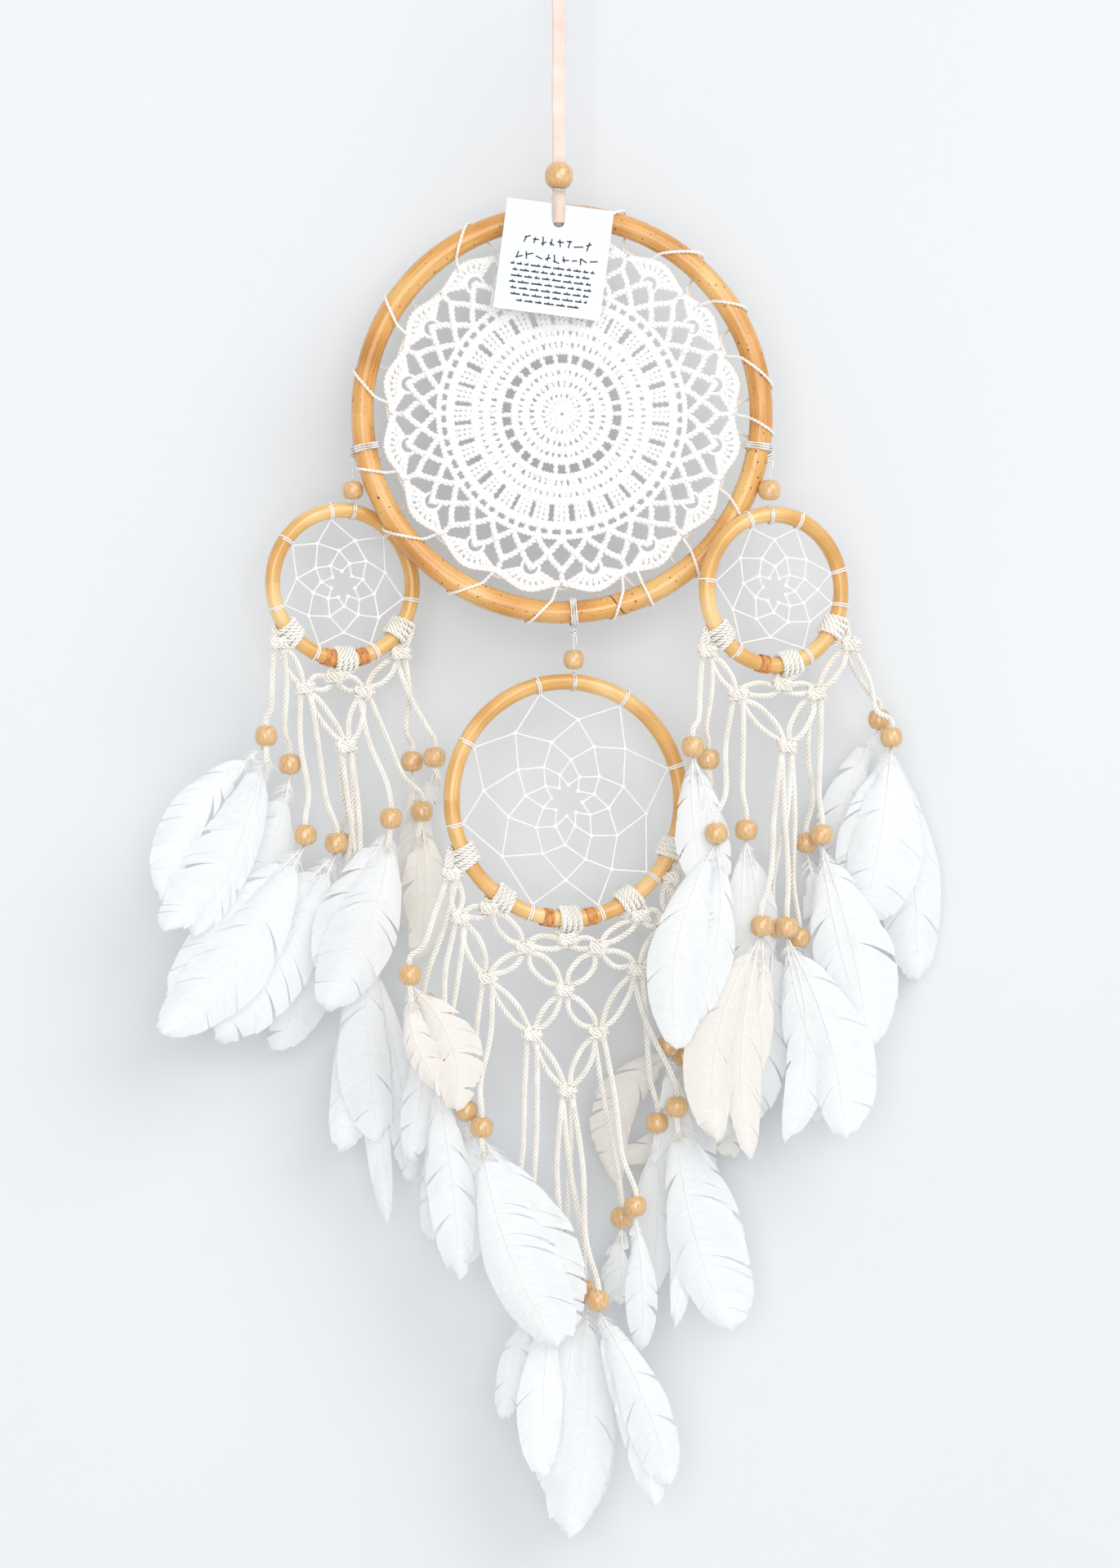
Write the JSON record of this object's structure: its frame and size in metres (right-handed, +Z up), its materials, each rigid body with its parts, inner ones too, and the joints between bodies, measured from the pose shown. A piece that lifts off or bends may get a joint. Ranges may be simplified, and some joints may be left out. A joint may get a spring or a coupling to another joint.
{
  "type": "dream catcher",
  "caption": "Hanging wall ornament: a cane hoop with a crocheted doily, smaller webbed hoops hung below it, knotted cotton nets, wood beads and white feathers.",
  "frame": {"origin": "top of the ribbon's loop, where it hangs on a nail", "axes": "+Z up along the hanging ribbon, +Y back towards the wall, +X to the viewer's right"},
  "size_m": [0.3954, 0.0673, 0.828],
  "materials": {
    "ribbon": "pale peach satin ribbon",
    "card": null,
    "bead_wood": "turned, varnished light wood",
    "feather": null,
    "doily_cotton": "crocheted white cotton yarn",
    "tie_cord": "cream cotton cord",
    "macrame_cotton": "twisted three-ply cotton cord",
    "web_thread": "white waxed thread",
    "hanger_thread": "silvery twisted thread",
    "cane_peel": "flat cane peel, varnished",
    "cane": "bent rattan cane, honey varnish"
  },
  "bodies": {
    "ribbon": {"hanging_ribbon": "ribbon"},
    "top_bead": {"top_bead": "bead_wood"},
    "knot": {"ribbon_knot": "tie_cord"},
    "tag": {"tag": "card", "tag_loop": "ribbon"},
    "main_hoop": {"main_hoop": "cane", "doily": "doily_cotton", "lashing_cord": "tie_cord"},
    "left_hanger": {"left_hanger_thread": "hanger_thread", "left_hanger_bead": "bead_wood"},
    "left_hoop": {"left_hoop": "cane", "left_top_tie": "hanger_thread", "left_splice_binding": "cane_peel", "left_web": "web_thread", "left_macrame": "macrame_cotton"},
    "right_hanger": {"right_hanger_thread": "hanger_thread", "right_hanger_bead": "bead_wood"},
    "right_hoop": {"right_hoop": "cane", "right_top_tie": "hanger_thread", "right_splice_binding": "cane_peel", "right_web": "web_thread", "right_macrame": "macrame_cotton"},
    "middle_hanger": {"middle_hanger_thread": "hanger_thread", "middle_hanger_bead": "bead_wood"},
    "middle_hoop": {"middle_hoop": "cane", "middle_top_tie": "hanger_thread", "middle_splice_binding": "cane_peel", "middle_web": "web_thread", "middle_macrame": "macrame_cotton"},
    "left_1_tassel": {"left_1_bead": "bead_wood", "left_1_feather": "feather"},
    "left_2_tassel": {"left_2_bead": "bead_wood", "left_2_feather": "feather"},
    "left_3_tassel": {"left_3_bead": "bead_wood", "left_3_feather": "feather"},
    "left_4_tassel": {"left_4_bead": "bead_wood", "left_4_feather": "feather"},
    "left_5_tassel": {"left_5_bead": "bead_wood", "left_5_feather": "feather"},
    "right_1_tassel": {"right_1_bead": "bead_wood", "right_1_feather": "feather"},
    "right_2_tassel": {"right_2_bead": "bead_wood", "right_2_feather": "feather"},
    "right_3_tassel": {"right_3_bead": "bead_wood", "right_3_feather": "feather"},
    "right_4_tassel": {"right_4_bead": "bead_wood", "right_4_feather": "feather"},
    "right_5_tassel": {"right_5_bead": "bead_wood", "right_5_feather": "feather"},
    "middle_1_tassel": {"middle_1_bead": "bead_wood", "middle_1_feather": "feather"},
    "middle_2_tassel": {"middle_2_bead": "bead_wood", "middle_2_feather": "feather"},
    "middle_3_tassel": {"middle_3_bead": "bead_wood", "middle_3_feather": "feather"},
    "middle_4_tassel": {"middle_4_bead": "bead_wood", "middle_4_feather": "feather"},
    "middle_5_tassel": {"middle_5_bead": "bead_wood", "middle_5_feather": "feather"}
  },
  "joints": [
    {"name": "top_bead_slide", "type": "slide", "parent": "ribbon", "child": "top_bead", "axis": [0, 0, 1], "range_m": [0, 0.07]},
    {"name": "ribbon_turn", "type": "hinge", "parent": "ribbon", "child": "knot", "pos_m": [0, 0, -0.1231], "axis": [0, 0, 1], "range_deg": [-90, 90], "stiffness_Nm_per_rad": 0.0006},
    {"name": "main_sway", "type": "hinge", "parent": "knot", "child": "main_hoop", "pos_m": [0, 0, -0.1231], "axis": [0, 1, 0], "range_deg": [-12, 12]},
    {"name": "tag_swing", "type": "hinge", "parent": "knot", "child": "tag", "pos_m": [0, -0.0048, -0.1222], "axis": [0, 1, 0], "range_deg": [-20, 20]},
    {"name": "left_sway", "type": "hinge", "parent": "main_hoop", "child": "left_hanger", "pos_m": [-0.108, 0.0035, -0.259], "axis": [0, 1, 0], "range_deg": [0, 10]},
    {"name": "left_turn", "type": "hinge", "parent": "left_hanger", "child": "left_hoop", "pos_m": [-0.108, 0.0035, -0.279], "axis": [0, 0, 1], "range_deg": [0, 50], "stiffness_Nm_per_rad": 0.0003},
    {"name": "right_sway", "type": "hinge", "parent": "main_hoop", "child": "right_hanger", "pos_m": [0.11, -0.0035, -0.2605], "axis": [0, 1, 0], "range_deg": [-10, 0]},
    {"name": "right_turn", "type": "hinge", "parent": "right_hanger", "child": "right_hoop", "pos_m": [0.11, -0.0035, -0.2805], "axis": [0, 0, 1], "range_deg": [0, 50], "stiffness_Nm_per_rad": 0.0003},
    {"name": "middle_sway", "type": "hinge", "parent": "main_hoop", "child": "middle_hanger", "pos_m": [0.0077, 0, -0.352], "axis": [0, 1, 0], "range_deg": [-5, 5]},
    {"name": "middle_turn", "type": "hinge", "parent": "middle_hanger", "child": "middle_hoop", "pos_m": [0.0077, 0, -0.372], "axis": [0, 0, 1], "range_deg": [-8, 20], "stiffness_Nm_per_rad": 0.0003},
    {"name": "left_1_swing", "type": "hinge", "parent": "left_hoop", "child": "left_1_tassel", "pos_m": [-0.152, -0.01609, -0.4007], "axis": [0, 1, 0], "range_deg": [-10, 15]},
    {"name": "left_2_swing", "type": "hinge", "parent": "left_hoop", "child": "left_2_tassel", "pos_m": [-0.132, -0.00919, -0.4522], "axis": [0, 1, 0], "range_deg": [-10, 15]},
    {"name": "left_3_swing", "type": "hinge", "parent": "left_hoop", "child": "left_3_tassel", "pos_m": [-0.1166, -0.00033, -0.4567], "axis": [0, 1, 0], "range_deg": [-10, 15]},
    {"name": "left_4_swing", "type": "hinge", "parent": "left_hoop", "child": "left_4_tassel", "pos_m": [-0.0876, 0.01458, -0.4437], "axis": [0, 1, 0], "range_deg": [-10, 15]},
    {"name": "left_5_swing", "type": "hinge", "parent": "left_hoop", "child": "left_5_tassel", "pos_m": [-0.0725, 0.02331, -0.4402], "axis": [0, 1, 0], "range_deg": [-12, 12]},
    {"name": "right_1_swing", "type": "hinge", "parent": "right_hoop", "child": "right_1_tassel", "pos_m": [0.0817, -0.0161, -0.4513], "axis": [0, 1, 0], "range_deg": [-10, 15]},
    {"name": "right_2_swing", "type": "hinge", "parent": "right_hoop", "child": "right_2_tassel", "pos_m": [0.1056, -0.00746, -0.4997], "axis": [0, 1, 0], "range_deg": [-10, 12]},
    {"name": "right_3_swing", "type": "hinge", "parent": "right_hoop", "child": "right_3_tassel", "pos_m": [0.1193, 0.00164, -0.5007], "axis": [0, 1, 0], "range_deg": [-10, 10]},
    {"name": "right_4_swing", "type": "hinge", "parent": "right_hoop", "child": "right_4_tassel", "pos_m": [0.1383, 0.0111, -0.4524], "axis": [0, 1, 0], "range_deg": [-15, 10]},
    {"name": "right_5_swing", "type": "hinge", "parent": "right_hoop", "child": "right_5_tassel", "pos_m": [0.1758, 0.0258, -0.401], "axis": [0, 1, 0], "range_deg": [-12, 12]},
    {"name": "middle_1_swing", "type": "hinge", "parent": "middle_hoop", "child": "middle_1_tassel", "pos_m": [-0.077, -0.0227, -0.5244], "axis": [0, 1, 0], "range_deg": [-12, 12]},
    {"name": "middle_2_swing", "type": "hinge", "parent": "middle_hoop", "child": "middle_2_tassel", "pos_m": [-0.04, -0.01578, -0.604], "axis": [0, 1, 0], "range_deg": [-12, 12]},
    {"name": "middle_3_swing", "type": "hinge", "parent": "middle_hoop", "child": "middle_3_tassel", "pos_m": [0.0133, 0.0055, -0.6911], "axis": [0, 1, 0], "range_deg": [-12, 12]},
    {"name": "middle_4_swing", "type": "hinge", "parent": "middle_hoop", "child": "middle_4_tassel", "pos_m": [0.0204, -0.0036, -0.695], "axis": [0, 1, 0], "range_deg": [-15, 12]},
    {"name": "middle_5_swing", "type": "hinge", "parent": "middle_hoop", "child": "middle_5_tassel", "pos_m": [0.062, 0.01455, -0.5957], "axis": [0, 1, 0], "range_deg": [-12, 12]}
  ]
}
